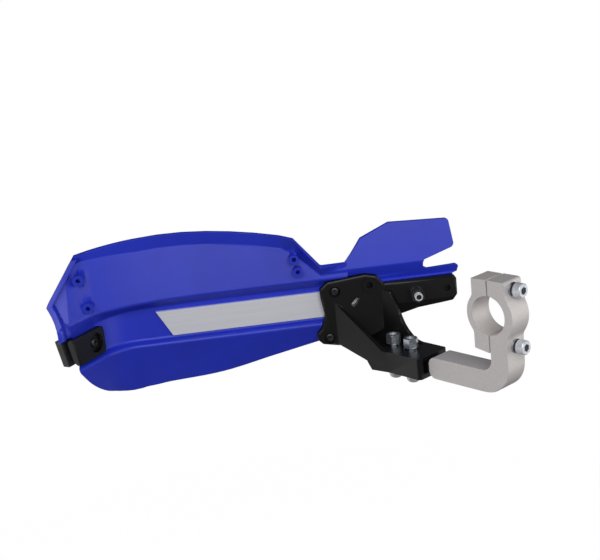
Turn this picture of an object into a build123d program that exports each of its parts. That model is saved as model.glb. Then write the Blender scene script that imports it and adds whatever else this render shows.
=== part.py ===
from build123d import *
from math import cos, radians, sin, sqrt, tan
import os

# Left-hand motorcycle hand guard, in millimetres.
# Origin at the centre of the handlebar bore, +X forward, +Y outboard along the bar, +Z up.
# The shell and what lies on it are drawn in a frame of their own: outboard along the spine,
# towards the rider, up. SPINE_YAW turns that frame about Z to the frame of the clamp.

# Handlebar clamp
BAR_DIAMETER = 28.6
CLAMP_WIDTH = 19.0
CLAMP_HEIGHT = 52.0
CLAMP_GAP = 1.0
CAP_EAR = 13.4
CAP_WALL = 4.4
CAP_TOE = 2.0
ARM_EAR = 15.4
ARM_WALL = 7.0
EAR_BLEND = 6.0
EAR_CORNER = 2.0
UPPER_SCREW_INSET = 6.6
LOWER_SCREW_INSET = 4.0

# Arm below the clamp, and its tongue
BAR_DROP = 41.8
BAR_HEIGHT = 16.6
LEG_OUTER_RADIUS = 22.0
LEG_INNER_RADIUS = 9.0
SHOULDER_X = 59.0
SHOULDER_RADIUS = 6.0
TONGUE_LENGTH = 50.0
TONGUE_HEIGHT = 8.0
TONGUE_DROP = 1.3
TONGUE_STEP = 3.5

# Socket of the bracket, round the tongue
MOUTH_GAP = 3.5
SOCKET_WIDTH = 32.0
SOCKET_ROOF = 4.0
SOCKET_FLOOR = 4.0
SOCKET_END_WALL = 3.0
TONGUE_CLEARANCE = 0.2
SLOT_SIDE_GAP = 5.0
SOCKET_CORNER = 3.0
ARM_BOLT_SPACING = 18.0
ARM_BOLT_INSET = 22.0

# Gusset walls of the bracket
GUSSET_WALL = 4.0
GUSSET_FLARE = 12.0
GUSSET_TURN = 15.0
FRONT_CREASE = 94.0
FRONT_SLOPE = 0.87
KEEL_SLOPE = 0.47
BACK_CREASE = 84.0
BACK_CURVE = [(90.5, -40.9), (95.4, -36.0), (98.9, -30.5), (101.9, -22.8), (110.0, -3.0)]
BACK_END = [(122.0, 0.0), (124.0, -52.0), (104.0, -58.0)]
KEEL_FOOT = 109.5
KEEL_STEP = (113.2, -53.1)
GUSSET_END = 144.0

# Spine of the shell
SPINE_YAW = 51.55
SPINE_DISTANCE = 100.0
SPINE_Z = -10.0
WALL = 3.0
FOLD_RADIUS = 2.5
INBOARD_END = 6.0

# Stiffener lying in the channel
STRIP_WIDTH = 20.4
STRIP_THICKNESS = 2.0
STRIP_INBOARD = 83.0
STRIP_OUTBOARD = 242.5
STRIP_SLANT = 11.0
STRIP_CLEARANCE = 0.3

# Channel, with the bend of its outboard end
CHANNEL_TOP = 4.0
CHANNEL_BOTTOM = -22.0
BEND_START = 252.0
BEND_RADIUS = 40.0
BEND_ANGLE = 57.0
END_RUN = 30.0
END_NARROWING = 2.0

# Upper panel and its rim
PANEL_DEPTH = 7.0
PANEL_FOOT = 11.0
PANEL_LEAN = 0.2
PANEL_BEND_START = 200.0
PANEL_BEND_RADIUS = 200.0
RIM_PEAK = 60.4
RIM_PEAK_S = 241.0
RIM_ARC_RADIUS = 416.0
PANEL_CORNER = 132.0
CORNER_EASE = 10.0
NECK_OUTBOARD = 113.5
NECK_INBOARD = 93.0
NECK_TOP = 22.0
PANEL_END = 320.0
RIM_TAPER = 20.0
# Rim at places along the spine: how far it rises above its fold, and reaches towards the rider.
RIM_SHAPE = [
    (NECK_INBOARD, 6.0, 1.0), (NECK_OUTBOARD, 7.0, 6.0), (PANEL_CORNER, 13.0, 8.0),
    (PANEL_CORNER + CORNER_EASE, 9.6, 2.0), (BEND_START, 9.6, 2.0), (PANEL_END - RIM_TAPER, 4.7, 1.5),
    (PANEL_END, 4.7, 1.5),
]
LIP_OUT = 8.0
STRAIGHT_STEPS = 6
BEND_STEPS = 6
FOOT_STEP = 3.0
PANEL_TIP = (316.4, 27.7)
TIP_CURVE = (311.3, 13.0)
TIP_FOOT = (309.8, 3.0)
PANEL_CROWN = (272.0, 89.0)
LIP_WIDTH = 4.6
LIP_TOP = 55.5

# Lower wing
RIDGE_OUT = 6.0
RIDGE_Z = -24.5
WING_LEAN = 0.45
WING_REACH = -76.0
WING_ROOT = [(93.0, -30.0), (104.0, -36.0), (122.0, -41.0), (160.0, -50.1)]
WING_SWEEP = [(179.0, -55.0), (195.5, -58.5), (212.0, -60.5), (240.0, -62.4)]
WING_LOW = (262.0, -65.8)
WING_CORNER = [(284.0, -56.0), (295.2, -38.0)]
WING_END = (300.5, -20.0)

# Fin
FIN_FOOT = 16.5
FIN_REACH = 60.0
FIN_OUTLINE = [
    (54.0, -22.0), (40.0, -19.5), (24.0, -17.5), (15.0, -15.5), (13.0, -12.0), (13.0, 1.5), (7.4, 3.5),
    (6.4, 8.4), (8.8, 10.4), (31.0, 9.3), (34.0, 11.2), (34.2, 15.0), (33.2, 17.5), (10.5, 24.8), (9.2, 27.0),
    (11.5, 45.0), (13.5, 46.6), (58.0, 48.6), (80.8, 39.2), (90.5, 26.5),
    (94.5, 22.0), (98.5, 20.0), (113.5, 18.5), (113.5, -40.0),
]

# Bosses for a deflector: place along the spine, height, and place of their faces
OUTER_BOSSES = [(293.0, 40.6), (288.9, 18.7)]
OUTER_BOSS_FACE = -66.0
OUTER_BOSS_RADIUS = 4.2
INNER_BOSSES = [(133.0, 31.0), (131.1, 20.9)]
INNER_BOSS_FACE = -88.0
INNER_BOSS_RADIUS = 3.6
BOSS_HOLE_RADIUS = 1.7
BOSS_HOLE_DEPTH = 7.0

# Flange and strap of the bracket, lying on the shell
FLANGE_THICKNESS = 6.0
SEAT_CLEARANCE = 0.5
FLANGE_SCREWS = [(104.3, 0.6), (111.4, -36.0)]
FLANGE_BOSS = (77.3, 3.0)
FLANGE_BOSS_RADIUS = 5.4
FLANGE_BOSS_RISE = 1.5
FLANGE_WINDOW = (89.0, -9.5)
WINDOW_LENGTH = 8.0
WINDOW_WIDTH = 3.8
WINDOW_SLANT = 132.0
STRAP_BOLT = (41.5, -8.0)
STRAP_HOLE = (17.2, -7.0)
STRAP_HOLE_RADIUS = 2.5
STRAP_HOLE_DEPTH = 4.5
STRAP_CREASE = -14.5
STRAP_BEVEL = 0.5
STRAP_BEVEL_END = 58.0
FLANGE_CORNER = 2.0
FLANGE_BEVEL = 1.6
FLANGE_OUTLINE = [
    (109.5, 8.6), (80.0, 11.3), (71.0, 9.0), (66.0, 2.6), (12.0, 2.6), (9.4, 0.0), (9.4, -13.0),
    (13.0, -17.6), (24.0, -19.0), (40.0, -20.8), (56.0, -25.5), (70.0, -36.0), (86.0, -42.0), (104.7, -43.4),
    (117.0, -40.8), (121.0, -36.5), (120.5, -32.0), (116.7, -27.9), (113.4, -17.7), (115.6, -4.0),
    (115.6, 3.5),
]

# Plug and pad at the outboard end
PLUG_LENGTH = 37.0
PLUG_DEPTH = 6.0
PLUG_OVERHANG = 7.8
PLUG_CLEARANCE = 0.3
PLUG_CORNER = 4.0
PLUG_EDGE = 1.0
PLUG_RECESS_RADIUS = 7.4
PLUG_FLOOR = 2.5
PAD_LENGTH = 31.0
PAD_THICKNESS = 7.0
PAD_HEIGHT = 21.5
PAD_OVERHANG = 9.6
PAD_DROP = 1.0
PAD_EDGE = 1.5
END_SLANT = 5.2
END_SCREW_INSET = 18.5
END_SEAT = 0.05

# Fasteners
M6_RADIUS = 3.0
M5_RADIUS = 2.5
HOLE_CLEARANCE = 0.3
THREAD_CLEARANCE = 0.1
WASHER_RADIUS = 5.6
WASHER_THICKNESS = 1.6
SPRING_WASHER_RADIUS = 5.0
SPRING_WASHER_THICKNESS = 1.8
CAP_HEAD_RADIUS = 5.2
CAP_HEAD_HEIGHT = 6.0
HEX_KEY = 5.0
HEX_KEY_DEPTH = 4.0
NUT_FLATS = 10.0
NUT_HEIGHT = 7.0
NUT_BEVEL = 1.4
DOME_RADIUS = 5.4
DOME_HEIGHT = 3.4
ARM_HEAD_HEIGHT = 10.5
PAN_RADIUS = 3.4
PAN_HEIGHT = 2.4
PAN_RECESS = 4.2
PAN_DEPTH = 3.0
DOME_SHARE = 0.7
HEAD_EDGE = 0.6
BOLT_END = 1.5
ARM_BOLT_SINK = 1.0
STRAP_BOLT_END = 3.5
DIMPLE_RADIUS = 2.0
DIMPLE_DEPTH = 2.5
CROSS_LENGTH = 3.8
CROSS_WIDTH = 1.0
CROSS_DEPTH = 1.4

SHELL_TURN = Location((0, 0, 0), (0, 0, SPINE_YAW))
BORE_RADIUS = BAR_DIAMETER / 2
LEG_WIDTH = ARM_EAR
CLAMP_SCREW_ZS = [CLAMP_HEIGHT / 2 - UPPER_SCREW_INSET, LOWER_SCREW_INSET - CLAMP_HEIGHT / 2]
TONGUE_Z = -BAR_DROP - BAR_HEIGHT / 2 - TONGUE_DROP
TONGUE_WIDTH = CLAMP_WIDTH - 2 * TONGUE_STEP
TONGUE_END = SHOULDER_X + TONGUE_LENGTH
MOUTH_X = SHOULDER_X + MOUTH_GAP
SOCKET_END = TONGUE_END + TONGUE_CLEARANCE + SOCKET_END_WALL
SOCKET_TOP = TONGUE_Z + TONGUE_HEIGHT / 2 + TONGUE_CLEARANCE + SOCKET_ROOF
SOCKET_BOTTOM = TONGUE_Z - TONGUE_HEIGHT / 2 - TONGUE_CLEARANCE - SOCKET_FLOOR
ARM_BOLT_XS = [MOUTH_X + ARM_BOLT_INSET, MOUTH_X + ARM_BOLT_INSET + ARM_BOLT_SPACING]
SEAT_N = -SPINE_DISTANCE + STRIP_THICKNESS
FLANGE_N = SEAT_N + FLANGE_THICKNESS


def floor_n(s):
    # Rear face of the channel floor at a place along the spine.
    run = s - BEND_START
    arc_run = BEND_RADIUS * sin(radians(BEND_ANGLE))
    if run <= 0:
        return -SPINE_DISTANCE
    if run <= arc_run:
        return -SPINE_DISTANCE + BEND_RADIUS - sqrt(BEND_RADIUS**2 - run**2)
    arc_rise = BEND_RADIUS * (1 - cos(radians(BEND_ANGLE)))
    return -SPINE_DISTANCE + arc_rise + (run - arc_run) * tan(radians(BEND_ANGLE))


def panel_n(s, z=PANEL_FOOT):
    # Rear face of the upper panel, which bends towards the rider and leans forward at the top.
    run = max(s - PANEL_BEND_START, 0)
    rise = PANEL_BEND_RADIUS - sqrt(PANEL_BEND_RADIUS**2 - run**2)
    return -SPINE_DISTANCE + PANEL_DEPTH + rise - PANEL_LEAN * (z - PANEL_FOOT)


BEND_RUN = BEND_RADIUS * sin(radians(BEND_ANGLE))
END_S = BEND_START + BEND_RUN + END_RUN * cos(radians(BEND_ANGLE))
END_N = floor_n(END_S)
# Frame of the straight run at the outboard end: along the channel, into the wall's rear, up.
END_FRAME = Location((END_S, END_N, (CHANNEL_TOP + CHANNEL_BOTTOM) / 2), (0, 0, BEND_ANGLE))


def foot_n(s):
    # Foot of the panel, carried towards the rider by the channel at the outboard end.
    return max(panel_n(s), floor_n(min(s, END_S)) + FOOT_STEP)


def stretch(curve, s):
    # How much longer a wall is along the rider's axis where the spine runs askew.
    step = 0.5
    rate = (curve(s + step) - curve(s - step)) / (2 * step)
    return sqrt(1 + rate**2)


def end_share(s):
    # Nought along the straight spine, one at the outboard end.
    return min(max((s - BEND_START) / (END_S - BEND_START), 0), 1)


def rim_top(s):
    return RIM_PEAK - RIM_ARC_RADIUS + sqrt(RIM_ARC_RADIUS**2 - (s - RIM_PEAK_S) ** 2)


def rim_shape(s):
    # Rise and reach of the rim, in even steps between the places where they are set.
    for (s0, *before), (s1, *after) in zip(RIM_SHAPE, RIM_SHAPE[1:]):
        if s <= s1:
            share = (s - s0) / (s1 - s0)
            return [a + (b - a) * share for a, b in zip(before, after)]
    return after


def rear_line(s, top):
    # Rear face at one place along the spine, from the rim down to the wing.
    rise, reach = rim_shape(s)
    fold = top - rise
    crest = panel_n(s, fold)
    floor = floor_n(s)
    narrowing = END_NARROWING * end_share(s)
    panel = stretch(panel_n, s)
    channel = stretch(floor_n, s)
    ridge_n = floor + RIDGE_OUT * channel
    ridge_z = RIDGE_Z + narrowing
    points = [
        (crest + reach, top),
        (crest, fold),
        (foot_n(s), PANEL_FOOT),
        (floor, CHANNEL_TOP - narrowing),
        (floor, CHANNEL_BOTTOM + narrowing),
        (ridge_n, ridge_z),
        (ridge_n - WING_LEAN * (ridge_z - WING_REACH), WING_REACH),
    ]
    return points, [panel, panel, panel, channel, channel, channel, channel]


def front_line(points, stretches):
    # The rear line moved forward by the wall, with mitred corners.
    normals = []
    for (n0, z0), (n1, z1) in zip(points, points[1:]):
        length = sqrt((n1 - n0) ** 2 + (z1 - z0) ** 2)
        normals.append(((z1 - z0) / length, (n0 - n1) / length))
    normals = [normals[0]] + normals + [normals[-1]]
    moved = []
    for (n, z), (ax, ay), (bx, by), factor in zip(points, normals, normals[1:], stretches):
        share = WALL / (1 + ax * bx + ay * by)
        moved.append((n + (ax + bx) * share * factor, z + (ay + by) * share))
    return moved


def wall_section(s, points, stretches):
    plane = Plane(origin=(s, 0, 0), x_dir=(0, 1, 0), z_dir=(1, 0, 0))
    front_points = front_line(points, stretches)
    rear = FilletPolyline(*points, radius=FOLD_RADIUS)
    front = FilletPolyline(*front_points, radius=FOLD_RADIUS)
    ends = Line(points[0], front_points[0]) + Line(points[-1], front_points[-1])
    return plane * make_face(rear + front + ends)


def across(outline):
    # A prism through the whole shell from an outline seen along the rider's axis.
    return extrude(Plane.XZ * outline, 200, both=True)


def peg(place, radius, n0, n1):
    # A cylinder along the rider's axis between two depths.
    s, z = place
    return Plane(origin=(s, n0, z), z_dir=(0, 1, 0)) * extrude(Circle(radius), n1 - n0)


def stations():
    # Places of the cross sections, evenly along the straight spine and round the bend.
    eased = PANEL_CORNER + CORNER_EASE
    step = (BEND_START - eased) / STRAIGHT_STEPS
    straight = [PANEL_CORNER] + [eased + step * i for i in range(STRAIGHT_STEPS)]
    angles = [radians(BEND_ANGLE * i / BEND_STEPS) for i in range(BEND_STEPS + 1)]
    bend = [BEND_START + BEND_RADIUS * sin(angle) for angle in angles]
    return straight + bend + [END_S, PANEL_END]


def panel_and_wing():
    neck = wall_section(NECK_INBOARD, *rear_line(NECK_INBOARD, NECK_TOP))
    shoulder = wall_section(NECK_OUTBOARD, *rear_line(NECK_OUTBOARD, NECK_TOP))
    sections = [wall_section(s, *rear_line(s, rim_top(s))) for s in stations()]
    body = loft([neck, shoulder] + sections, ruled=True)
    end = (END_S, CHANNEL_TOP - WALL)
    edge = Line(end, TIP_FOOT) + ThreePointArc(TIP_FOOT, TIP_CURVE, PANEL_TIP)
    edge += Polyline(PANEL_TIP, PANEL_CROWN, (NECK_INBOARD, PANEL_CROWN[1]), *WING_ROOT)
    edge += Spline(WING_ROOT[-1], *WING_SWEEP, WING_LOW)
    edge += Spline(WING_LOW, *WING_CORNER, WING_END) + Line(WING_END, end)
    return body & across(make_face(edge))


def end_lip():
    # Upright lip along the outboard edge of the panel, following the panel's face.
    crest = Vector(*PANEL_CROWN)
    tip = Vector(*PANEL_TIP)
    top = tip + (crest - tip) * ((LIP_TOP - tip.Y) / (crest.Y - tip.Y))
    inward = Vector(-LIP_WIDTH, 0)
    edge = Line(top, tip) + ThreePointArc(tip, TIP_CURVE, TIP_FOOT)
    edge += Line(TIP_FOOT, TIP_FOOT + inward)
    edge += ThreePointArc(TIP_FOOT + inward, TIP_CURVE + inward, tip + inward)
    edge += Polyline(tip + inward, top + inward, top)
    layers = []
    for s in (WING_CORNER[0][0], END_S, TIP_FOOT[0], PANEL_END):
        points = rear_line(s, rim_top(s))[0]
        face = [points[3], points[2], points[1], (panel_n(s, PANEL_CROWN[1]), PANEL_CROWN[1])]
        raised = [(n + LIP_OUT, z) for n, z in face]
        sunk = [(n - WALL / 3, z) for n, z in reversed(face)]
        plane = Plane(origin=(s, 0, 0), x_dir=(0, 1, 0), z_dir=(1, 0, 0))
        layers.append(plane * make_face(Polyline(*raised, *sunk, close=True)))
    return loft(layers, ruled=True) & across(make_face(edge))


def inboard_end():
    # Channel under the bracket's strap, with the fin above it.
    floor = -SPINE_DISTANCE
    foot = floor + PANEL_DEPTH
    points = [
        (foot - PANEL_LEAN * (FIN_REACH - FIN_FOOT), FIN_REACH),
        (foot, FIN_FOOT),
        (floor, CHANNEL_TOP),
        (floor, CHANNEL_BOTTOM),
        (floor + RIDGE_OUT, RIDGE_Z),
    ]
    body = extrude(wall_section(INBOARD_END, points, [1] * len(points)), NECK_OUTBOARD - INBOARD_END)
    return body & across(make_face(Polyline(*FIN_OUTLINE, close=True)))


def flange_outline():
    outline = make_face(Polyline(*FLANGE_OUTLINE, close=True))
    return fillet(outline.vertices(), FLANGE_CORNER)


def strip_outline(clearance):
    low = SPINE_Z - STRIP_WIDTH / 2 - clearance
    high = SPINE_Z + STRIP_WIDTH / 2 + clearance
    inboard = STRIP_INBOARD - clearance
    outboard = STRIP_OUTBOARD + clearance
    corners = [(inboard, low), (outboard - STRIP_SLANT, low), (outboard, high), (inboard, high)]
    return make_face(Polyline(*corners, close=True))


def slab(outline, n0, n1):
    # An outline seen along the rider's axis, between two depths.
    return Pos(0, n0, 0) * extrude(Plane.XZ * outline, n1 - n0, dir=(0, 1, 0))


def guard_shell():
    shell = panel_and_wing() + inboard_end() + end_lip()
    shell += slab(flange_outline(), SEAT_N - WALL, SEAT_N)
    for bosses, face, radius in (
        (OUTER_BOSSES, OUTER_BOSS_FACE, OUTER_BOSS_RADIUS),
        (INNER_BOSSES, INNER_BOSS_FACE, INNER_BOSS_RADIUS),
    ):
        for place in bosses:
            shell += peg(place, radius, panel_n(*place) - WALL / 2, face)
            shell -= peg(place, BOSS_HOLE_RADIUS, face - BOSS_HOLE_DEPTH, face)
    shell -= slab(offset(flange_outline(), SEAT_CLEARANCE), SEAT_N, 0)
    shell -= slab(strip_outline(STRIP_CLEARANCE), -SPINE_DISTANCE, -SPINE_DISTANCE + 2 * STRIP_THICKNESS)
    for place in FLANGE_SCREWS:
        shell -= peg(place, M5_RADIUS + THREAD_CLEARANCE, -2 * SPINE_DISTANCE, 0)
    shell -= peg(STRAP_BOLT, M6_RADIUS + HOLE_CLEARANCE, -2 * SPINE_DISTANCE, 0)
    return shell - END_FRAME * end_hole(M5_RADIUS + HOLE_CLEARANCE, -2 * WALL, WALL)


def stiffener_plate():
    plate = slab(strip_outline(0), -SPINE_DISTANCE, SEAT_N)
    return plate - peg(FLANGE_SCREWS[0], M5_RADIUS + 2 * HOLE_CLEARANCE, -2 * SPINE_DISTANCE, 0)


def end_hole(radius, y0, y1):
    # A cylinder on the axis of the end screw, in the frame of the outboard run.
    plane = Plane(origin=(-END_SCREW_INSET, y0, 0), z_dir=(0, 1, 0))
    return plane * extrude(Circle(radius), y1 - y0)


def end_block(length, overhang, height, y0, y1):
    # A block along the outboard run, its outboard end slanted.
    inboard = overhang - length
    low = -height / 2
    high = height / 2
    corners = [(inboard, low), (overhang - END_SLANT, low), (overhang, high), (inboard, high)]
    return slab(make_face(Polyline(*corners, close=True)), y0, y1)


def end_plug():
    # Plug in the channel, cut back along the floor to clear the channel's folds.
    height = CHANNEL_TOP - CHANNEL_BOTTOM - 2 * END_NARROWING - 2 * PLUG_CLEARANCE
    body = end_block(PLUG_LENGTH, PLUG_OVERHANG, height, END_SEAT, END_SEAT + PLUG_DEPTH)
    body = chamfer(body.edges().filter_by(Axis.X).group_by(Axis.Y)[0], FOLD_RADIUS)
    body = fillet(body.edges().filter_by(Axis.Y).group_by(Axis.X)[0], PLUG_CORNER)
    body = fillet(body.faces().sort_by(Axis.Y)[-1].edges(), PLUG_EDGE)
    body -= end_hole(PLUG_RECESS_RADIUS, PLUG_FLOOR, 2 * PLUG_DEPTH)
    return body - end_hole(M5_RADIUS + HOLE_CLEARANCE, 0, PLUG_DEPTH)


def skid_pad():
    back = -WALL - END_SEAT
    body = Pos(0, 0, -PAD_DROP) * end_block(PAD_LENGTH, PAD_OVERHANG, PAD_HEIGHT, back - PAD_THICKNESS, back)
    body = fillet(body.faces().sort_by(Axis.Y)[0].edges(), PAD_EDGE)
    return body - end_hole(M5_RADIUS + THREAD_CLEARANCE, -WALL - PAD_THICKNESS + BOLT_END, 0)


def rounded(sketch, place, radius):
    # The sketch with the corner nearest to a place rounded.
    return fillet(sketch.vertices().sort_by_distance((*place, 0))[0], radius)


def half_clamp(side, ear, wall, toe=0):
    # One half of the clamp in the XZ plane, on the side of the split given by the sign.
    gap = side * CLAMP_GAP / 2
    edge = side * ear
    top = CLAMP_HEIGHT / 2
    block = make_face(Polyline((gap, top), (edge, top), (edge, -top), (gap, -top - toe), close=True))
    half_plane = Pos(gap + side * CLAMP_HEIGHT, 0) * Rectangle(2 * CLAMP_HEIGHT, 2 * CLAMP_HEIGHT)
    return block + (Circle(BORE_RADIUS + wall) & half_plane)


def ear_places(side, ear, wall):
    # Where the round of the bore leaves the ears, above and below.
    height = sqrt((BORE_RADIUS + wall) ** 2 - ear**2)
    return [(side * ear, height), (side * ear, -height)]


def clamp_holes(radius):
    holes = []
    for z in CLAMP_SCREW_ZS:
        plane = Plane(origin=(-CLAMP_HEIGHT, 0, z), z_dir=(1, 0, 0))
        holes.append(plane * extrude(Circle(radius), 2 * CLAMP_HEIGHT))
    return holes


def along_y(sketch, width):
    return extrude(Plane.XZ * sketch, width / 2, both=True)


def clamp_arm():
    gap = CLAMP_GAP / 2
    bottom = -BAR_DROP - BAR_HEIGHT
    leg = Pos(-(LEG_WIDTH + gap) / 2, bottom / 2) * Rectangle(LEG_WIDTH - gap, -bottom)
    foot_length = SHOULDER_X + LEG_WIDTH
    foot = Pos((SHOULDER_X - LEG_WIDTH) / 2, bottom + BAR_HEIGHT / 2) * Rectangle(foot_length, BAR_HEIGHT)
    outline = half_clamp(-1, ARM_EAR, ARM_WALL) + leg + foot
    for place in ear_places(-1, ARM_EAR, ARM_WALL):
        outline = rounded(outline, place, EAR_BLEND)
    outline = rounded(outline, (-ARM_EAR, CLAMP_HEIGHT / 2), EAR_CORNER)
    outline = rounded(outline, (-LEG_WIDTH, bottom), LEG_OUTER_RADIUS)
    outline = rounded(outline, (-gap, -BAR_DROP), LEG_INNER_RADIUS)
    for z in (-BAR_DROP, bottom):
        outline = rounded(outline, (SHOULDER_X, z), SHOULDER_RADIUS)
    body = along_y(outline, CLAMP_WIDTH)
    tongue = Pos(SHOULDER_X + TONGUE_LENGTH / 2 - LEG_WIDTH / 2, 0, TONGUE_Z)
    body += tongue * Box(TONGUE_LENGTH + LEG_WIDTH, TONGUE_WIDTH, TONGUE_HEIGHT)
    body -= Rot(90, 0, 0) * Cylinder(BORE_RADIUS, 2 * CLAMP_WIDTH)
    for z in CLAMP_SCREW_ZS:
        face = Plane(origin=(-ARM_EAR, 0, z), z_dir=(-1, 0, 0))
        body -= face * extrude(Circle(WASHER_RADIUS + HOLE_CLEARANCE), LEG_WIDTH)
    for hole in clamp_holes(M6_RADIUS + HOLE_CLEARANCE):
        body -= hole
    for x in ARM_BOLT_XS:
        body -= Pos(x, 0, TONGUE_Z) * Cylinder(M6_RADIUS + HOLE_CLEARANCE, 2 * TONGUE_HEIGHT)
    return body


def clamp_cap():
    outline = half_clamp(1, CAP_EAR, CAP_WALL, CAP_TOE)
    for place in ear_places(1, CAP_EAR, CAP_WALL):
        outline = rounded(outline, place, EAR_BLEND)
    body = along_y(outline, CLAMP_WIDTH)
    body -= Rot(90, 0, 0) * Cylinder(BORE_RADIUS, 2 * CLAMP_WIDTH)
    for hole in clamp_holes(M6_RADIUS + THREAD_CLEARANCE):
        body -= hole
    return body


def upright_plate(start, turn, outline, thickness):
    # An upright plate from its outline in run along the plate and height, thickness to the right.
    plane = Plane(
        origin=(start[0], start[1], 0),
        x_dir=(cos(radians(turn)), sin(radians(turn)), 0),
        z_dir=(sin(radians(turn)), -cos(radians(turn)), 0),
    )
    return extrude(plane * outline, thickness)


def along_plate(crease, turn, points):
    # Places in X and Z moved to run along a plate that starts at a crease.
    return [((x - crease) / cos(radians(turn)), z) for x, z in points]


def front_gusset():
    rise = SOCKET_TOP + FRONT_SLOPE * (GUSSET_END - FRONT_CREASE - GUSSET_WALL)
    fall = KEEL_STEP[1] + KEEL_SLOPE * (GUSSET_END - KEEL_STEP[0])
    points = [
        (FRONT_CREASE, SOCKET_TOP),
        (FRONT_CREASE + GUSSET_WALL, SOCKET_TOP),
        (GUSSET_END, rise),
        (GUSSET_END, fall),
        KEEL_STEP,
        (KEEL_FOOT, SOCKET_BOTTOM),
        (FRONT_CREASE, SOCKET_BOTTOM),
    ]
    outline = make_face(Polyline(*along_plate(FRONT_CREASE, GUSSET_FLARE, points), close=True))
    return upright_plate((FRONT_CREASE, SOCKET_WIDTH / 2), GUSSET_FLARE, outline, GUSSET_WALL)


def back_gusset():
    curve = along_plate(BACK_CREASE, GUSSET_TURN, [(BACK_CREASE, SOCKET_TOP), *BACK_CURVE])
    rest = along_plate(BACK_CREASE, GUSSET_TURN, [BACK_CURVE[-1], *BACK_END, (BACK_CREASE, SOCKET_BOTTOM)])
    outline = make_face(Spline(*curve) + Polyline(*rest, curve[0]))
    return upright_plate((BACK_CREASE, -SOCKET_WIDTH / 2), GUSSET_TURN, outline, -GUSSET_WALL)


def gusset_web():
    # Floor between the gussets, trimmed to their outer faces.
    fall = KEEL_STEP[1] + KEEL_SLOPE * (GUSSET_END - KEEL_STEP[0])
    inboard = KEEL_FOOT - 2 * GUSSET_WALL
    points = [
        (inboard, SOCKET_BOTTOM),
        (KEEL_FOOT, SOCKET_BOTTOM),
        KEEL_STEP,
        (GUSSET_END, fall),
        (GUSSET_END, fall + 2 * GUSSET_WALL),
        (KEEL_FOOT, SOCKET_TOP),
        (inboard, SOCKET_TOP),
    ]
    web = along_y(make_face(Polyline(*points, close=True)), 2 * SOCKET_WIDTH)
    side = Rectangle(4 * GUSSET_END, 4 * GUSSET_END)
    web -= upright_plate((FRONT_CREASE, SOCKET_WIDTH / 2), GUSSET_FLARE, side, -SOCKET_WIDTH)
    return web - upright_plate((BACK_CREASE, -SOCKET_WIDTH / 2), GUSSET_TURN, side, 2 * SOCKET_WIDTH)


def strap_bevel():
    # What is cut off along the strap's lower edge, sloping forward from the crease.
    drop = FLANGE_THICKNESS / STRAP_BEVEL
    corners = [(FLANGE_N, STRAP_CREASE), (FLANGE_N, STRAP_CREASE - drop), (SEAT_N, STRAP_CREASE - drop)]
    plane = Plane(origin=(0, 0, 0), x_dir=(0, 1, 0), z_dir=(1, 0, 0))
    return extrude(plane * make_face(Polyline(*corners, close=True)), STRAP_BEVEL_END)


def mount_bracket():
    height = SOCKET_TOP - SOCKET_BOTTOM
    length = SOCKET_END - MOUTH_X
    middle = Pos((MOUTH_X + SOCKET_END) / 2, 0, (SOCKET_TOP + SOCKET_BOTTOM) / 2)
    block = middle * Box(length, SOCKET_WIDTH, height)
    block = fillet(block.edges().filter_by(Axis.Z).group_by(Axis.X)[0], SOCKET_CORNER)
    body = block + front_gusset() + back_gusset() + gusset_web()
    flange = slab(flange_outline(), SEAT_N, FLANGE_N)
    flange = chamfer(flange.faces().sort_by(Axis.Y)[-1].edges(), FLANGE_BEVEL)
    body += SHELL_TURN * (flange - strap_bevel())
    body += SHELL_TURN * peg(FLANGE_BOSS, FLANGE_BOSS_RADIUS, SEAT_N, FLANGE_N + FLANGE_BOSS_RISE)
    body -= SHELL_TURN * slab(Rectangle(4 * GUSSET_END, 4 * GUSSET_END), 4 * SEAT_N, SEAT_N)
    tunnel = TONGUE_END + TONGUE_CLEARANCE
    slot_height = TONGUE_HEIGHT + 2 * TONGUE_CLEARANCE
    body -= Pos(tunnel / 2, 0, TONGUE_Z) * Box(tunnel, TONGUE_WIDTH + 2 * SLOT_SIDE_GAP, slot_height)
    for x in ARM_BOLT_XS:
        body -= Pos(x, 0, TONGUE_Z) * Cylinder(M6_RADIUS + HOLE_CLEARANCE, 4 * TONGUE_HEIGHT)
    for place in FLANGE_SCREWS:
        body -= SHELL_TURN * peg(place, M5_RADIUS + HOLE_CLEARANCE, 2 * SEAT_N, FLANGE_N)
        body -= SHELL_TURN * peg(place, PAN_RECESS, FLANGE_N - PAN_DEPTH, FLANGE_N + PAN_DEPTH)
    body -= SHELL_TURN * peg(FLANGE_BOSS, M5_RADIUS, SEAT_N + 1, 0)
    window = Pos(*FLANGE_WINDOW) * Rot(0, 0, WINDOW_SLANT) * SlotOverall(WINDOW_LENGTH, WINDOW_WIDTH)
    body -= SHELL_TURN * slab(window, 2 * SEAT_N, FLANGE_N + 1)
    body -= SHELL_TURN * peg(STRAP_BOLT, M6_RADIUS + HOLE_CLEARANCE, 2 * SEAT_N, 0)
    body -= SHELL_TURN * peg(STRAP_HOLE, STRAP_HOLE_RADIUS, FLANGE_N - STRAP_HOLE_DEPTH, 0)
    return body


def stud(radius, length):
    # A shank hanging below the seat of its head.
    return Pos(0, 0, -length / 2) * Cylinder(radius, length)


def cap_screw(length):
    head = Pos(0, 0, CAP_HEAD_HEIGHT / 2) * Cylinder(CAP_HEAD_RADIUS, CAP_HEAD_HEIGHT)
    head = chamfer(head.faces().sort_by(Axis.Z)[-1].edges(), HEAD_EDGE)
    key = RegularPolygon(HEX_KEY / 2, 6, major_radius=False)
    socket = Pos(0, 0, CAP_HEAD_HEIGHT - HEX_KEY_DEPTH) * extrude(key, HEX_KEY_DEPTH)
    return head + stud(M6_RADIUS, length) - socket


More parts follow.
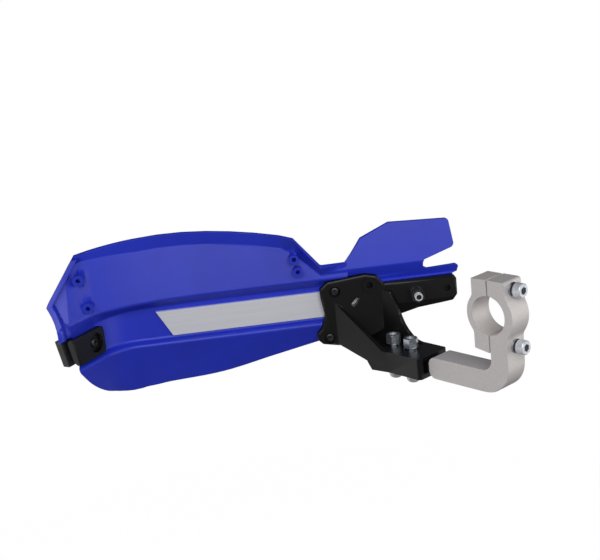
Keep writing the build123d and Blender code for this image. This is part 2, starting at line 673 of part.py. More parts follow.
def dome_bolt(radius, head_radius, head_height, length):
    head = Pos(0, 0, head_height / 2) * Cylinder(head_radius, head_height)
    head = fillet(head.faces().sort_by(Axis.Z)[-1].edges(), min(head_height, head_radius) * DOME_SHARE)
    return head + stud(radius, length)


def pan_screw(length):
    # A pan-head screw with a cross recess.
    body = dome_bolt(M5_RADIUS, PAN_RADIUS, PAN_HEIGHT, length)
    cross = Rectangle(CROSS_LENGTH, CROSS_WIDTH) + Rectangle(CROSS_WIDTH, CROSS_LENGTH)
    return body - Pos(0, 0, PAN_HEIGHT - CROSS_DEPTH) * extrude(cross, 2 * CROSS_DEPTH)


def hexagon_nut():
    # A hexagon nut with the corners of its top bevelled.
    body = extrude(RegularPolygon(NUT_FLATS / 2, 6, major_radius=False), NUT_HEIGHT)
    turned = Pos(0, 0, NUT_HEIGHT / 2) * Cylinder(NUT_FLATS / sqrt(3) + NUT_BEVEL / 2, NUT_HEIGHT)
    body &= chamfer(turned.faces().sort_by(Axis.Z)[-1].edges(), NUT_BEVEL)
    return body - Cylinder(M6_RADIUS + THREAD_CLEARANCE, 4 * NUT_HEIGHT)


def ring(radius, thickness):
    return extrude(Circle(radius) - Circle(M6_RADIUS + HOLE_CLEARANCE), thickness)


def clamp_stack():
    # Screws, flat washers and spring washers of the clamp, each pair in one group.
    screws = []
    flats = []
    springs = []
    reach = ARM_EAR + CAP_EAR + WASHER_THICKNESS + SPRING_WASHER_THICKNESS - BOLT_END
    for z in CLAMP_SCREW_ZS:
        face = Plane(origin=(-ARM_EAR, 0, z), z_dir=(-1, 0, 0))
        flats.append(face * ring(CAP_HEAD_RADIUS, WASHER_THICKNESS))
        face *= Pos(0, 0, WASHER_THICKNESS)
        springs.append(face * ring(SPRING_WASHER_RADIUS, SPRING_WASHER_THICKNESS))
        face *= Pos(0, 0, SPRING_WASHER_THICKNESS)
        screws.append(face * cap_screw(reach))
    return screws, flats, springs


def arm_stack():
    # Bolts from below, washers and nuts on the roof of the socket, each pair in one group.
    bolts = []
    washers = []
    nuts = []
    grip = SOCKET_TOP - SOCKET_BOTTOM
    length = grip + WASHER_THICKNESS + NUT_HEIGHT - ARM_BOLT_SINK
    for x in ARM_BOLT_XS:
        under = Plane(origin=(x, 0, SOCKET_BOTTOM), z_dir=(0, 0, -1))
        bolts.append(under * dome_bolt(M6_RADIUS, DOME_RADIUS, ARM_HEAD_HEIGHT, length))
        washers.append(Pos(x, 0, SOCKET_TOP) * ring(WASHER_RADIUS, WASHER_THICKNESS))
        nuts.append(Pos(x, 0, SOCKET_TOP + WASHER_THICKNESS) * hexagon_nut())
    return bolts, washers, nuts


def strap_stack():
    s, z = STRAP_BOLT
    front = -SPINE_DISTANCE - WALL
    length = FLANGE_N - front + WASHER_THICKNESS + NUT_HEIGHT + STRAP_BOLT_END
    head = Plane(origin=(s, front, z), z_dir=(0, -1, 0))
    dimple = Pos(0, 0, -length) * Cylinder(DIMPLE_RADIUS, 2 * DIMPLE_DEPTH)
    bolt = head * (dome_bolt(M6_RADIUS, DOME_RADIUS, DOME_HEIGHT, length) - dimple)
    rear = Plane(origin=(s, FLANGE_N, z), z_dir=(0, 1, 0))
    washer = rear * ring(WASHER_RADIUS, WASHER_THICKNESS)
    return bolt, washer, rear * Pos(0, 0, WASHER_THICKNESS) * hexagon_nut()


def bracket_screws():
    length = FLANGE_THICKNESS - PAN_DEPTH + WALL - BOLT_END / 2
    screws = []
    for s, z in FLANGE_SCREWS:
        seat = Plane(origin=(s, FLANGE_N - PAN_DEPTH, z), z_dir=(0, 1, 0))
        screws.append(seat * pan_screw(length))
    return screws


def end_screw():
    length = PLUG_FLOOR + WALL + PAD_THICKNESS - 2 * BOLT_END
    seat = Plane(origin=(-END_SCREW_INSET, PLUG_FLOOR, 0), z_dir=(0, 1, 0))
    return seat * pan_screw(length)


def group(shapes, turn=Location()):
    return Compound(children=[turn * shape for shape in shapes])


clamp_screws, clamp_washers, clamp_spring_washers = clamp_stack()
arm_bolts, arm_washers, arm_nuts = arm_stack()
strap_bolt, strap_washer, strap_nut = strap_stack()
END_TURN = SHELL_TURN * END_FRAME
nodes = {
    "guard_shell": SHELL_TURN * guard_shell(),
    "stiffener_plate": SHELL_TURN * stiffener_plate(),
    "end_plug": END_TURN * end_plug(),
    "skid_pad": END_TURN * skid_pad(),
    "end_screw": END_TURN * end_screw(),
    "mount_bracket": mount_bracket(),
    "bracket_screws": group(bracket_screws(), SHELL_TURN),
    "strap_bolt": SHELL_TURN * strap_bolt,
    "strap_washer": SHELL_TURN * strap_washer,
    "strap_nut": SHELL_TURN * strap_nut,
    "clamp_arm": clamp_arm(),
    "clamp_cap": clamp_cap(),
    "clamp_screws": group(clamp_screws),
    "clamp_washers": group(clamp_washers),
    "clamp_spring_washers": group(clamp_spring_washers),
    "arm_bolts": group(arm_bolts),
    "arm_washers": group(arm_washers),
    "arm_nuts": group(arm_nuts),
}
os.makedirs("parts", exist_ok=True)
for name, shape in nodes.items():
    export_step(shape, f"parts/{name}.step")
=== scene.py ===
from math import cos, exp, radians, sin, tau
import bmesh
import bpy
from mathutils import Matrix, Vector


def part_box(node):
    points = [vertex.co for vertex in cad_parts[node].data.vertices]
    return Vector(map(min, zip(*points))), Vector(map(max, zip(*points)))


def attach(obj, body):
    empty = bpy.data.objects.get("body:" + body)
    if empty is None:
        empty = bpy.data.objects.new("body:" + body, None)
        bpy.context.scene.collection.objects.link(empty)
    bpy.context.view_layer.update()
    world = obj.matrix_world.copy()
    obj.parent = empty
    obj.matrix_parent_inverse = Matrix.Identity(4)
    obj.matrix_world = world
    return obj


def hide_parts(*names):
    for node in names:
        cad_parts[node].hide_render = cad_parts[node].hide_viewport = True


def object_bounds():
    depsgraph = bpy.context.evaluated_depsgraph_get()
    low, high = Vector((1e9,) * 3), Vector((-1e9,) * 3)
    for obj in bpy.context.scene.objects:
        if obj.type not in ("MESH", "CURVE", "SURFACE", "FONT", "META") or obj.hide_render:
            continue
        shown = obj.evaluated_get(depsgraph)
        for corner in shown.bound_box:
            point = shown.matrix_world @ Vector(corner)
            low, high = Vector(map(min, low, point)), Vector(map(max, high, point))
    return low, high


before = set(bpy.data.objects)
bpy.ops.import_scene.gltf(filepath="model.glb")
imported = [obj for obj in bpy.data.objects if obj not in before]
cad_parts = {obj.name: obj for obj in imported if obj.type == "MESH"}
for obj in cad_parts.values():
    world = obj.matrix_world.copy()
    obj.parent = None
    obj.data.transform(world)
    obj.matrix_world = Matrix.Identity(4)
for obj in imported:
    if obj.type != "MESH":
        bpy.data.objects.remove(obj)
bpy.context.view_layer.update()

# Guard shell: one injection moulding in blue polypropylene, open towards the rider.
# The mould leaves a fine satin grain and a small round on every free edge.
# The grain is drawn coarser than the real one, which is too fine to show.
MM = 0.001
SHELL_BLUE = "#2336CA"
SHELL_BLUE_DEEP = "#2133C0"
SHELL_PATCH = 35 * MM
SHELL_GRAIN = 0.7 * MM
SHELL_GRAIN_DEPTH = 0.01 * MM
SHELL_ROUND = 0.7 * MM
SHELL_YAW = radians(51.55)
EASE_PLACE = 262.0 * MM
EASE_SPAN = 5.0 * MM
EASE_LIFT = 0.6 * MM
WING_FOOT = -62.0 * MM


def linear(hex_colour):
    # Turns an sRGB hex value to the linear colour that a shader takes.
    out = []
    for i in (1, 3, 5):
        c = int(hex_colour[i:i + 2], 16) / 255
        out.append(c / 12.92 if c <= 0.04045 else ((c + 0.055) / 1.055) ** 2.4)
    return (*out, 1.0)


def add_node(tree, kind, links=(), **settings):
    # Adds a node, sets its sockets and properties by name, and links its inputs from other sockets.
    node = tree.nodes.new(kind)
    for key, value in settings.items():
        name = key.replace("_", " ")
        if name in node.inputs:
            node.inputs[name].default_value = value
        else:
            setattr(node, key, value)
    for name, source in links:
        tree.links.new(source, node.inputs[name])
    return node


def start_finish(name, metallic=0.0):
    # A new material with its shader, and the place on the piece that its patterns read.
    material = bpy.data.materials.new(name)
    material.use_nodes = True
    tree = material.node_tree
    tree.nodes.clear()
    shader = add_node(tree, "ShaderNodeBsdfPrincipled", Metallic=metallic)
    add_node(tree, "ShaderNodeOutputMaterial", [("Surface", shader.outputs["BSDF"])])
    place = add_node(tree, "ShaderNodeTexCoord").outputs["Object"]
    return material, tree, shader, place


def two_tone(tree, shader, place, size, dark, light):
    # Soft patches of a real size, from the darker to the lighter tone of one colour.
    patches = add_node(tree, "ShaderNodeTexNoise", [("Vector", place)], Scale=1 / size, Detail=3.0)
    tones = add_node(tree, "ShaderNodeValToRGB", [("Fac", patches.outputs["Fac"])])
    tones.color_ramp.elements[0].position = 0.35
    tones.color_ramp.elements[0].color = linear(dark)
    tones.color_ramp.elements[1].position = 0.65
    tones.color_ramp.elements[1].color = linear(light)
    tree.links.new(tones.outputs["Color"], shader.inputs["Base Color"])


def grained(tree, shader, place, size, depth, smooth, rough):
    # A fine grain of a real size that lifts the surface and spreads its gloss.
    grit = add_node(tree, "ShaderNodeTexNoise", [("Vector", place)], Scale=1 / size, Detail=2.0)
    spread = [("Value", grit.outputs["Fac"])]
    gloss = add_node(tree, "ShaderNodeMapRange", spread, To_Min=smooth, To_Max=rough)
    tree.links.new(gloss.outputs["Result"], shader.inputs["Roughness"])
    lift = add_node(tree, "ShaderNodeBump", [("Height", grit.outputs["Fac"])], Strength=1.0, Distance=depth)
    tree.links.new(lift.outputs["Normal"], shader.inputs["Normal"])


def bake_modifiers(piece):
    # Gives a piece the mesh that its modifiers make, and takes them off.
    solid = bpy.data.meshes.new_from_object(piece.evaluated_get(bpy.context.evaluated_depsgraph_get()))
    piece.modifiers.clear()
    piece.data = solid
    return solid


MERGE_DISTANCE = 0.002 * MM
FLAT_ANGLE = radians(0.6)
EDGE_SEGMENTS = 2
SHORT_EDGE = 2.5


def moulded_copy(node, name, width, material, angle=32):
    # A copy of a solid with its doubles merged, its long sharp edges rounded and its curves smooth.
    # Corners with short edges or many sharp ones stay as they are, so that no round overlaps another.
    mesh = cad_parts[node].data.copy()
    mesh.name = name
    work = bmesh.new()
    work.from_mesh(mesh)
    bmesh.ops.remove_doubles(work, verts=work.verts, dist=MERGE_DISTANCE)
    bmesh.ops.dissolve_limit(work, angle_limit=FLAT_ANGLE, verts=work.verts, edges=work.edges)
    if width:
        weight = work.edges.layers.float.new("bevel_weight_edge")
        sharp = {edge for edge in work.edges if edge.is_manifold and edge.calc_face_angle() > radians(angle)}
        crowded = set()
        for vert in work.verts:
            ends = [edge for edge in vert.link_edges if edge in sharp]
            if len(ends) > 3 or any(edge.calc_length() < SHORT_EDGE * width for edge in vert.link_edges):
                crowded.add(vert)
        for edge in sharp:
            if not crowded.intersection(edge.verts):
                edge[weight] = 1.0
    work.to_mesh(mesh)
    work.free()
    piece = bpy.data.objects.new(name, mesh)
    bpy.context.scene.collection.objects.link(piece)
    if width:
        bevel = piece.modifiers.new("edge_round", "BEVEL")
        bevel.width = width
        bevel.segments = EDGE_SEGMENTS
        bevel.limit_method = "WEIGHT"
        bevel.use_clamp_overlap = False
        bevel.miter_outer = "MITER_ARC"
    solid = bake_modifiers(piece)
    solid.materials.clear()
    solid.materials.append(material)
    solid.shade_smooth()
    solid.set_sharp_from_angle(angle=radians(angle))
    level = piece.modifiers.new("level_faces", "WEIGHTED_NORMAL")
    level.keep_sharp = True
    bake_modifiers(piece)
    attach(piece, "root")
    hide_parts(node)
    return piece


# Moulded polypropylene: deep saturated blue under a soft, even gloss.
shell_finish, tree, shader, place = start_finish("moulded_blue_polypropylene")
two_tone(tree, shader, place, SHELL_PATCH, SHELL_BLUE_DEEP, SHELL_BLUE)
grained(tree, shader, place, SHELL_GRAIN, SHELL_GRAIN_DEPTH, 0.40, 0.48)
shell = moulded_copy("guard_shell", "shell_moulding", SHELL_ROUND, shell_finish)
# The lower edge of the wing is dressed, so that its two sweeps run into each other.
to_shell = Matrix.Rotation(SHELL_YAW, 3, "Z")
for vertex in shell.data.vertices:
    spot = to_shell.inverted() @ vertex.co
    if spot.z < WING_FOOT:
        vertex.co.z += EASE_LIFT * exp(-((spot.x - EASE_PLACE) / EASE_SPAN) ** 2)

# Stiffener: a strip of rolled aluminium plate lying in the channel of the shell.
# It is sheared to length with a slanted end and left matt, pale grey with faint marks along the roll.
STRIP_GREY = "#F1F1F8"
STRIP_GREY_DARK = "#EDEDF5"
ROLL_LENGTH = 60 * MM
ROLL_WIDTH = 1.6 * MM
ROLL_GRAIN = 0.8 * MM
ROLL_GRAIN_DEPTH = 0.005 * MM
STRIP_ROUND = 0.25 * MM
strip_finish, tree, shader, place = start_finish("rolled_aluminium", metallic=0.55)
turn = add_node(tree, "ShaderNodeMapping", [("Vector", place)], vector_type="TEXTURE")
turn.inputs["Rotation"].default_value = (0, 0, SHELL_YAW)
turn.inputs["Scale"].default_value = (ROLL_LENGTH / ROLL_WIDTH, 1, 1)
along = turn.outputs["Vector"]
two_tone(tree, shader, along, ROLL_WIDTH, STRIP_GREY_DARK, STRIP_GREY)
grained(tree, shader, along, ROLL_GRAIN, ROLL_GRAIN_DEPTH, 0.49, 0.54)
moulded_copy("stiffener_plate", "stiffener_strip", STRIP_ROUND, strip_finish)

# End plug and skid pad: black nylon blocks either side of the shell's outboard end.
# One screw through the plug holds both, and the plug is rounded at its inner end.
NYLON_BLACK = "#09090A"
NYLON_BLACK_DEEP = "#060607"
NYLON_PATCH = 18 * MM
NYLON_GRAIN = 0.9 * MM
NYLON_GRAIN_DEPTH = 0.02 * MM
NYLON_GLOSS = 0.42
PLUG_ROUND = 0.4 * MM
# Glass-filled nylon: near black, with a fine tooth that breaks its gloss, drawn coarser than real.
nylon_finish, tree, shader, place = start_finish("moulded_black_nylon")
shader.inputs["Specular IOR Level"].default_value = NYLON_GLOSS
two_tone(tree, shader, place, NYLON_PATCH, NYLON_BLACK_DEEP, NYLON_BLACK)
grained(tree, shader, place, NYLON_GRAIN, NYLON_GRAIN_DEPTH, 0.38, 0.46)
moulded_copy("end_plug", "end_plug_block", PLUG_ROUND, nylon_finish)
# Scuffed nylon: the same black turned greyer and duller where the pad slides along the ground.
SCUFF_GREY = "#2B2B2C"
SCUFF_GREY_DEEP = "#1E1E1F"
SCUFF_PATCH = 6 * MM
SCUFF_GRAIN = 0.6 * MM
SCUFF_DEPTH = 0.03 * MM
PAD_ROUND = 0.8 * MM
scuff_finish, tree, shader, place = start_finish("scuffed_black_nylon")
two_tone(tree, shader, place, SCUFF_PATCH, SCUFF_GREY_DEEP, SCUFF_GREY)
grained(tree, shader, place, SCUFF_GRAIN, SCUFF_DEPTH, 0.38, 0.50)
moulded_copy("skid_pad", "skid_pad_block", PAD_ROUND, scuff_finish)

# Mount bracket: one black nylon moulding with a flange and strap on the shell and a socket for the arm.
# Two gusset walls and a floor between them join the flange to the socket.
BRACKET_ROUND = 0.7 * MM
moulded_copy("mount_bracket", "bracket_moulding", BRACKET_ROUND, nylon_finish)

# Black fasteners: oxide-blacked steel, holding the flange, the strap and the end plug.
# The cross recesses are pressed, and the oxide is thin and slightly uneven.
OXIDE_BLACK = "#222224"
OXIDE_WORN = "#4C4C51"
OXIDE_PATCH = 3 * MM
OXIDE_GRAIN = 0.4 * MM
FASTENER_GRAIN_DEPTH = 0.01 * MM
FASTENER_ANGLE = 28
# Blackened steel: dark grey with a soft shine, paler where the oxide is thin. It is also used as painted
# shade inside the hollow of the strap bolt's tip.
oxide_finish_and_hollow_shade, tree, shader, place = start_finish("blackened_steel_and_hollow_shade", metallic=0.5)
two_tone(tree, shader, place, OXIDE_PATCH, OXIDE_BLACK, OXIDE_WORN)
grained(tree, shader, place, OXIDE_GRAIN, FASTENER_GRAIN_DEPTH, 0.28, 0.42)
for node in ("bracket_screws", "end_screw", "strap_washer", "strap_nut"):
    moulded_copy(node, node + "_black", 0, oxide_finish_and_hollow_shade, FASTENER_ANGLE)

# Clamp arm and cap: milled from aluminium bar, split at the handlebar's axis and bead-blasted.
# The arm ends in a narrower tongue that goes into the bracket's socket.
ARM_GREY = "#DDD8D6"
ARM_GREY_DARK = "#D6D1CF"
ARM_SPECKLE = 1.3 * MM
ARM_GRAIN = 0.9 * MM
ARM_GRAIN_DEPTH = 0.025 * MM
ARM_ROUND = 0.5 * MM
# Blasted aluminium: a warm pale grey without gloss, with a fine speckle that is drawn coarser than real.
arm_finish, tree, shader, place = start_finish("blasted_aluminium", metallic=0.25)
two_tone(tree, shader, place, ARM_SPECKLE, ARM_GREY_DARK, ARM_GREY)
grained(tree, shader, place, ARM_GRAIN, ARM_GRAIN_DEPTH, 0.48, 0.60)
arm = moulded_copy("clamp_arm", "arm_billet", ARM_ROUND, arm_finish)
moulded_copy("clamp_cap", "cap_billet", ARM_ROUND, arm_finish)
# Painted shade: the tongue is drawn dark and dull where it enters the socket, standing in for the shadow in
# the socket's mouth.
TONGUE_SHADE = "#1A1A1C"
TONGUE_SHADE_DEEP = "#101011"
TONGUE_GRAIN_DEPTH = 0.02 * MM
TONGUE_START = 52.5 * MM
TONGUE_HALF_WIDTH = 6.8 * MM
tongue_painted_shade, tree, shader, place = start_finish("painted_socket_shade_on_aluminium", metallic=0.25)
two_tone(tree, shader, place, ARM_SPECKLE, TONGUE_SHADE_DEEP, TONGUE_SHADE)
grained(tree, shader, place, ARM_GRAIN, TONGUE_GRAIN_DEPTH, 0.48, 0.60)
arm.data.materials.append(tongue_painted_shade)
# The faces of the tongue inside the socket's mouth take the painted shade.
for face in arm.data.polygons:
    corners = [arm.data.vertices[i].co for i in face.vertices]
    if all(corner.x > TONGUE_START and abs(corner.y) < TONGUE_HALF_WIDTH for corner in corners):
        face.material_index = 1

# Bright fasteners: zinc-plated nuts and washers on the roof of the socket, and washers of the clamp.
# They are cold-formed or stamped, then plated in a barrel, and the nuts keep their hexagon edges.
ZINC_BRIGHT = "#B8BDC5"
ZINC_DULL = "#9CA1A9"
ZINC_PATCH = 2.5 * MM
ZINC_GRAIN = 0.5 * MM
MIRROR_GRAIN_DEPTH = 0.005 * MM
# Zinc plating: bright and shiny, with a faint blue cast. It is also used as painted shade inside the sockets
# of the clamp screws.
zinc_finish_and_socket_shade, tree, shader, place = start_finish("zinc_plated_steel_and_socket_shade", metallic=0.82)
two_tone(tree, shader, place, ZINC_PATCH, ZINC_DULL, ZINC_BRIGHT)
grained(tree, shader, place, ZINC_GRAIN, FASTENER_GRAIN_DEPTH, 0.18, 0.30)
for node in ("arm_nuts", "clamp_washers"):
    moulded_copy(node, node + "_zinc", 0, zinc_finish_and_socket_shade, FASTENER_ANGLE)
# Polished zinc: the washers are stamped from rolled sheet, so they mirror the dark moulding round them.
mirror_finish, tree, shader, place = start_finish("polished_zinc_plating", metallic=1.0)
two_tone(tree, shader, place, ZINC_PATCH, ZINC_DULL, ZINC_BRIGHT)
grained(tree, shader, place, ZINC_GRAIN, MIRROR_GRAIN_DEPTH, 0.12, 0.20)
moulded_copy("arm_washers", "arm_washers_zinc", 0, mirror_finish, FASTENER_ANGLE)

# Clamp screws, strap bolt and socket bolts: cold-headed steel, plated to a satin zinc.
# The sockets of the clamp screws are painted darker with the zinc finish, and the hollow in the strap bolt's
# tip black with the oxide finish, as painted shade inside them.
SATIN_LIGHT = "#E4E7EC"
SATIN_DARK = "#D2D6DD"
SOCKET_DEPTH = 4.0 * MM
SOCKET_RADIUS = 2.95 * MM
HOLLOW_RADIUS = 2.05 * MM
HOLLOW_FLOOR = Vector((41.5, -82.4, -8.0)) * MM
HOLLOW_MARGIN = 0.1 * MM
# Satin zinc: paler and duller than the nuts, almost white where light falls on it.
satin_finish, tree, shader, place = start_finish("satin_zinc_plating", metallic=0.35)
two_tone(tree, shader, place, ZINC_PATCH, SATIN_DARK, SATIN_LIGHT)
grained(tree, shader, place, ZINC_GRAIN, FASTENER_GRAIN_DEPTH, 0.34, 0.46)


def paint_hollow_shade(piece, floor, axis, radius, material):
    # Paints shade into a hollow: gives its faces a darker finish, from its floor outwards along its axis.
    mesh = piece.data
    if material.name not in mesh.materials:
        mesh.materials.append(material)
    inside = set()
    for vertex in mesh.vertices:
        offset = vertex.co - floor
        along = offset.dot(axis)
        if along > -HOLLOW_MARGIN and (offset - along * axis).length < radius:
            inside.add(vertex.index)
    for face in mesh.polygons:
        if inside.issuperset(face.vertices):
            face.material_index = mesh.materials.find(material.name)


clamp_screws = moulded_copy(
    "clamp_screws", "clamp_screws_satin", 0, satin_finish, FASTENER_ANGLE
)
strap_bolt = moulded_copy("strap_bolt", "strap_bolt_satin", 0, satin_finish, FASTENER_ANGLE)
moulded_copy("arm_bolts", "arm_bolts_satin", 0, satin_finish, FASTENER_ANGLE)
head_low, head_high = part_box("clamp_screws")
head_radius = (head_high.y - head_low.y) / 2
# Painted shade: the sockets of the clamp screws take the darker zinc finish.
for height in (head_high.z - head_radius, head_low.z + head_radius):
    socket_floor = Vector((head_low.x + SOCKET_DEPTH, 0, height))
    paint_hollow_shade(clamp_screws, socket_floor, Vector((-1, 0, 0)), SOCKET_RADIUS, zinc_finish_and_socket_shade)
# Painted shade: the hollow in the strap bolt's tip takes the black oxide finish.
out_of_strap = to_shell @ Vector((0, 1, 0))
paint_hollow_shade(strap_bolt, to_shell @ HOLLOW_FLOOR, out_of_strap, HOLLOW_RADIUS, oxide_finish_and_hollow_shade)

# Spring washers of the clamp: square wire wound to one turn and cut, so that its ends stand apart.
# One lies under the head of each clamp screw.
WIRE_WIDTH = 1.7 * MM
WIRE_HEIGHT = 1.5 * MM
WIRE_RISE = 0.25 * MM
WIRE_TURNS = 0.97
seat_low, seat_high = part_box("clamp_spring_washers")
washer_radius = (seat_high.y - seat_low.y) / 2
upper_seat = Vector((seat_high.x, 0, seat_high.z - washer_radius))
washer_spacing = seat_high.z - seat_low.z - 2 * washer_radius


def new_tree(name, sizes):
    # An empty geometry tree with named sizes, and the identifiers by which they are set.
    tree = bpy.data.node_groups.new(name, "GeometryNodeTree")
    tree.interface.new_socket("Geometry", in_out="OUTPUT", socket_type="NodeSocketGeometry")
    keys = {}
    for size in sizes:
        keys[size] = tree.interface.new_socket(size, in_out="INPUT", socket_type="NodeSocketFloat").identifier
    return tree, tree.nodes.new("NodeGroupInput"), keys


def close_tree(tree, source, material):
    # Ends a tree in plain geometry with its material.
    real = add_node(tree, "GeometryNodeRealizeInstances", [("Geometry", source)])
    coat = add_node(tree, "GeometryNodeSetMaterial", [("Geometry", real.outputs[0])], Material=material)
    add_node(tree, "NodeGroupOutput", [("Geometry", coat.outputs[0])])


def grown_piece(name, tree, keys, sizes, placing):
    # A plain mesh from a tree with its sizes set, moved to its place.
    piece = bpy.data.objects.new(name, bpy.data.meshes.new(name))
    bpy.context.scene.collection.objects.link(piece)
    maker = piece.modifiers.new("maker", "NODES")
    maker.node_group = tree
    for size, value in sizes.items():
        maker[keys[size]] = value
    made = bake_modifiers(piece)
    made.transform(placing)
    made.shade_smooth()
    made.set_sharp_from_angle(angle=radians(40))
    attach(piece, "root")
    return piece


names = ["Radius", "Turns", "Rise", "Wire Width", "Wire Height", "Spacing"]
tree, sizes, keys = new_tree("split_washers", names)
coil = add_node(
    tree, "GeometryNodeCurveSpiral",
    [("Rotations", sizes.outputs["Turns"]), ("Start Radius", sizes.outputs["Radius"]),
     ("End Radius", sizes.outputs["Radius"]), ("Height", sizes.outputs["Rise"])],
    Resolution=72,
)
wire = add_node(
    tree, "GeometryNodeCurvePrimitiveQuadrilateral",
    [("Width", sizes.outputs["Wire Width"]), ("Height", sizes.outputs["Wire Height"])],
)
washer = add_node(
    tree, "GeometryNodeCurveToMesh",
    [("Curve", coil.outputs[0]), ("Profile Curve", wire.outputs[0])], Fill_Caps=True,
)
step = add_node(tree, "ShaderNodeCombineXYZ", [("X", sizes.outputs["Spacing"])])
seats = add_node(tree, "GeometryNodeMeshLine", [("Offset", step.outputs[0])], Count=2)
pair = add_node(
    tree, "GeometryNodeInstanceOnPoints", [("Points", seats.outputs[0]), ("Instance", washer.outputs[0])]
)
close_tree(tree, pair.outputs[0], oxide_finish_and_hollow_shade)
toward_rider = Matrix(((0, 0, -1), (0, 1, 0), (1, 0, 0))).to_4x4()
lift = Matrix.Translation((0, 0, WIRE_HEIGHT / 2 + WIRE_RISE / 4))
washers = grown_piece(
    "split_spring_washers", tree, keys,
    {"Radius": washer_radius - WIRE_WIDTH / 2, "Turns": WIRE_TURNS, "Rise": WIRE_RISE,
     "Wire Width": WIRE_WIDTH, "Wire Height": WIRE_HEIGHT, "Spacing": -washer_spacing},
    Matrix.Translation(upper_seat) @ toward_rider @ lift,
)
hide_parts("clamp_spring_washers")

# Thread of the strap bolt: rolled into the steel before plating, one turn to each millimetre.
# Its crests show where the tip stands out of the nut.
THREAD_PITCH = 1.0 * MM
THREAD_RADIUS = 2.92 * MM
THREAD_CREST = 0.26 * MM
THREAD_LENGTH = 3.0 * MM
THREAD_FOOT = Vector((41.5, -83.4, -8.0)) * MM
tree, sizes, keys = new_tree("bolt_thread", ["Radius", "Turns", "Length", "Crest"])
helix = add_node(
    tree, "GeometryNodeCurveSpiral",
    [("Rotations", sizes.outputs["Turns"]), ("Start Radius", sizes.outputs["Radius"]),
     ("End Radius", sizes.outputs["Radius"]), ("Height", sizes.outputs["Length"])],
    Resolution=32,
)
crest = add_node(tree, "GeometryNodeCurvePrimitiveCircle", [("Radius", sizes.outputs["Crest"])], Resolution=6)
ridge = add_node(
    tree, "GeometryNodeCurveToMesh",
    [("Curve", helix.outputs[0]), ("Profile Curve", crest.outputs[0])], Fill_Caps=True,
)
close_tree(tree, ridge.outputs[0], satin_finish)
out_of_nut = Matrix.Translation(THREAD_FOOT) @ Matrix.Rotation(radians(-90), 4, "X")
grown_piece(
    "strap_bolt_thread", tree, keys,
    {"Radius": THREAD_RADIUS, "Turns": THREAD_LENGTH / THREAD_PITCH, "Length": THREAD_LENGTH,
     "Crest": THREAD_CREST},
    to_shell.to_4x4() @ out_of_nut,
)

# Camera: a long lens at the photograph's angle, placed by where the handlebar bore falls in the frame.
# The frame is 600 by 560 pixels, and the lens is given in those pixels.
FRAME_WIDTH = 600
FRAME_HEIGHT = 560
FOCAL_PIXELS = 1227.0
BORE_PIXEL = (496.38, 312.12)
BORE_DISTANCE = 0.859
CAMERA_AZIMUTH = radians(228.7)
CAMERA_ELEVATION = radians(16.34)
CAMERA_ROLL = radians(-6.13)
scene = bpy.context.scene
level_back = Vector((sin(CAMERA_AZIMUTH), -cos(CAMERA_AZIMUTH), 0))
level_right = Vector((cos(CAMERA_AZIMUTH), sin(CAMERA_AZIMUTH), 0))
back = level_back * cos(CAMERA_ELEVATION) + Vector((0, 0, sin(CAMERA_ELEVATION)))
level_up = back.cross(level_right)
right = level_right * cos(CAMERA_ROLL) + level_up * sin(CAMERA_ROLL)
up = level_up * cos(CAMERA_ROLL) - level_right * sin(CAMERA_ROLL)
across = (BORE_PIXEL[0] - FRAME_WIDTH / 2) / FOCAL_PIXELS * BORE_DISTANCE
above = (FRAME_HEIGHT / 2 - BORE_PIXEL[1]) / FOCAL_PIXELS * BORE_DISTANCE
eye = back * BORE_DISTANCE - right * across - up * above
lens = bpy.data.cameras.new("studio_camera")
lens.sensor_fit = "HORIZONTAL"
lens.sensor_width = 36.0
lens.lens = FOCAL_PIXELS * lens.sensor_width / FRAME_WIDTH
camera = bpy.data.objects.new("studio_camera", lens)
scene.collection.objects.link(camera)
camera.matrix_world = Matrix.Translation(eye) @ Matrix((right, up, back)).transposed().to_4x4()
scene.camera = camera
scene.view_settings.view_transform = "Standard"

# Studio: a round sheet of paper below the part and a white sweep beyond it, as high as the camera looks.
# The rest of the room is dim, with one soft lamp just above the camera and a weaker one to its right.
FLOOR_DROP = 0.30
FLOOR_RADIUS = 0.6
FLOOR_SIDES = 96
ROOM_LIGHT = 0.09
SWEEP_LIGHT = 1.5
SWEEP_START = 0.0
SWEEP_FULL = 0.75
HORIZON = 0.1
PAPER_WHITE = 1.1
PAPER_GLOW = 0.9
PAPER_GREY = "#808080"
low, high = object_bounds()
middle = (low + high) / 2
floor_mesh = bpy.data.meshes.new("studio_floor")
centre = Vector((middle.x, middle.y, low.z - FLOOR_DROP))
angles = [tau * i / FLOOR_SIDES for i in range(FLOOR_SIDES)]
ring = [centre + FLOOR_RADIUS * Vector((cos(a), sin(a), 0)) for a in angles]
floor_mesh.from_pydata(ring, [], [range(FLOOR_SIDES)])
floor = bpy.data.objects.new("studio_floor", floor_mesh)
scene.collection.objects.link(floor)
paper = bpy.data.materials.new("white_paper")
paper.use_nodes = True
tree = paper.node_tree
tree.nodes.clear()
path = add_node(tree, "ShaderNodeLightPath")
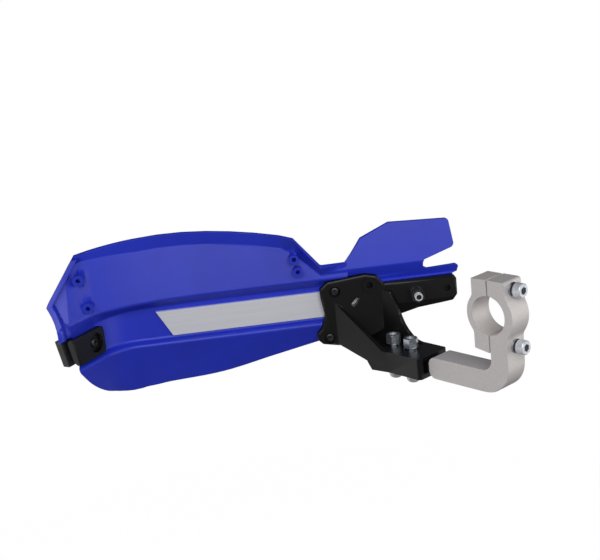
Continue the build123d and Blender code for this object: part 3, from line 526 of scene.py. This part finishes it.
# Gloss and mirrors see the paper white beyond the part, and grey on the rider's side.
spread = add_node(tree, "ShaderNodeTexCoord").outputs["Object"]
spot = add_node(tree, "ShaderNodeSeparateXYZ", [("Vector", spread)])
beyond = add_node(
    tree, "ShaderNodeMapRange", [("Value", spot.outputs["X"])],
    From_Min=middle.x, From_Max=middle.x + FLOOR_RADIUS,
)
mirrored = add_node(
    tree, "ShaderNodeMath",
    [(0, path.outputs["Is Glossy Ray"]), (1, path.outputs["Is Transmission Ray"])], operation="ADD",
)
seen = add_node(
    tree, "ShaderNodeMath",
    [(0, mirrored.outputs[0]), (1, beyond.outputs["Result"]), (2, path.outputs["Is Camera Ray"])],
    operation="MULTIPLY_ADD", use_clamp=True,
)
share = add_node(tree, "ShaderNodeMath", [(0, seen.outputs[0])], operation="MULTIPLY")
share.inputs[1].default_value = PAPER_GLOW
glow = add_node(tree, "ShaderNodeEmission", Color=(1, 1, 1, 1), Strength=PAPER_WHITE)
chalk = add_node(tree, "ShaderNodeBsdfDiffuse", Color=linear(PAPER_GREY))
mixed = add_node(
    tree, "ShaderNodeMixShader", [(0, share.outputs[0]), (1, chalk.outputs[0]), (2, glow.outputs[0])]
)
add_node(tree, "ShaderNodeOutputMaterial", [("Surface", mixed.outputs[0])])
floor_mesh.materials.append(paper)

surround = bpy.data.worlds.new("white_sweep")
scene.world = surround
surround.use_nodes = True
tree = surround.node_tree
tree.nodes.clear()
path = add_node(tree, "ShaderNodeLightPath")
toward = add_node(tree, "ShaderNodeTexCoord").outputs["Generated"]
aim = add_node(tree, "ShaderNodeSeparateXYZ", [("Vector", toward)])
far = add_node(
    tree, "ShaderNodeMapRange", [("Value", aim.outputs["X"])], From_Min=SWEEP_START, From_Max=SWEEP_FULL
)
below = add_node(
    tree, "ShaderNodeMapRange", [("Value", aim.outputs["Z"])], From_Min=HORIZON, From_Max=-HORIZON
)
sweep = add_node(
    tree, "ShaderNodeMath", [(0, far.outputs["Result"]), (1, below.outputs["Result"])], operation="MULTIPLY"
)
fade = add_node(
    tree, "ShaderNodeMapRange", [("Value", sweep.outputs[0])], To_Min=ROOM_LIGHT, To_Max=SWEEP_LIGHT
)
dim = add_node(tree, "ShaderNodeBackground", [("Strength", fade.outputs["Result"])], Color=(1, 1, 1, 1))
bright = add_node(tree, "ShaderNodeBackground", Color=(1, 1, 1, 1), Strength=1.0)
mirrored = add_node(
    tree, "ShaderNodeMath",
    [(0, path.outputs["Is Glossy Ray"]), (1, path.outputs["Is Transmission Ray"])], operation="ADD",
)
seen = add_node(
    tree, "ShaderNodeMath",
    [(0, mirrored.outputs[0]), (1, sweep.outputs[0]), (2, path.outputs["Is Camera Ray"])],
    operation="MULTIPLY_ADD", use_clamp=True,
)
mixed = add_node(
    tree, "ShaderNodeMixShader", [(0, seen.outputs[0]), (1, dim.outputs[0]), (2, bright.outputs[0])]
)
add_node(tree, "ShaderNodeOutputWorld", [("Surface", mixed.outputs[0])])


LAMP_DISTANCE = 1.4
KEY_RISE = 0.24
KEY_SIZE = (1.8, 0.8)
KEY_POWER = 16.2
FILL_TURN = 0.25
FILL_SIZE = (0.9, 1.0)
FILL_POWER = 5.5


def softbox(name, direction, size, power):
    # A wide lamp on a stand round the middle of the part, turned towards it.
    lamp = bpy.data.lights.new(name, "AREA")
    lamp.shape = "RECTANGLE"
    lamp.size, lamp.size_y = size
    lamp.energy = power
    stand = bpy.data.objects.new(name, lamp)
    scene.collection.objects.link(stand)
    outward = direction.normalized()
    stand.location = middle + outward * LAMP_DISTANCE
    stand.rotation_mode = "QUATERNION"
    stand.rotation_quaternion = outward.to_track_quat("Z", "Y")


softbox("key_softbox", back + up * KEY_RISE, KEY_SIZE, KEY_POWER)
softbox("fill_softbox", right + back * FILL_TURN, FILL_SIZE, FILL_POWER)
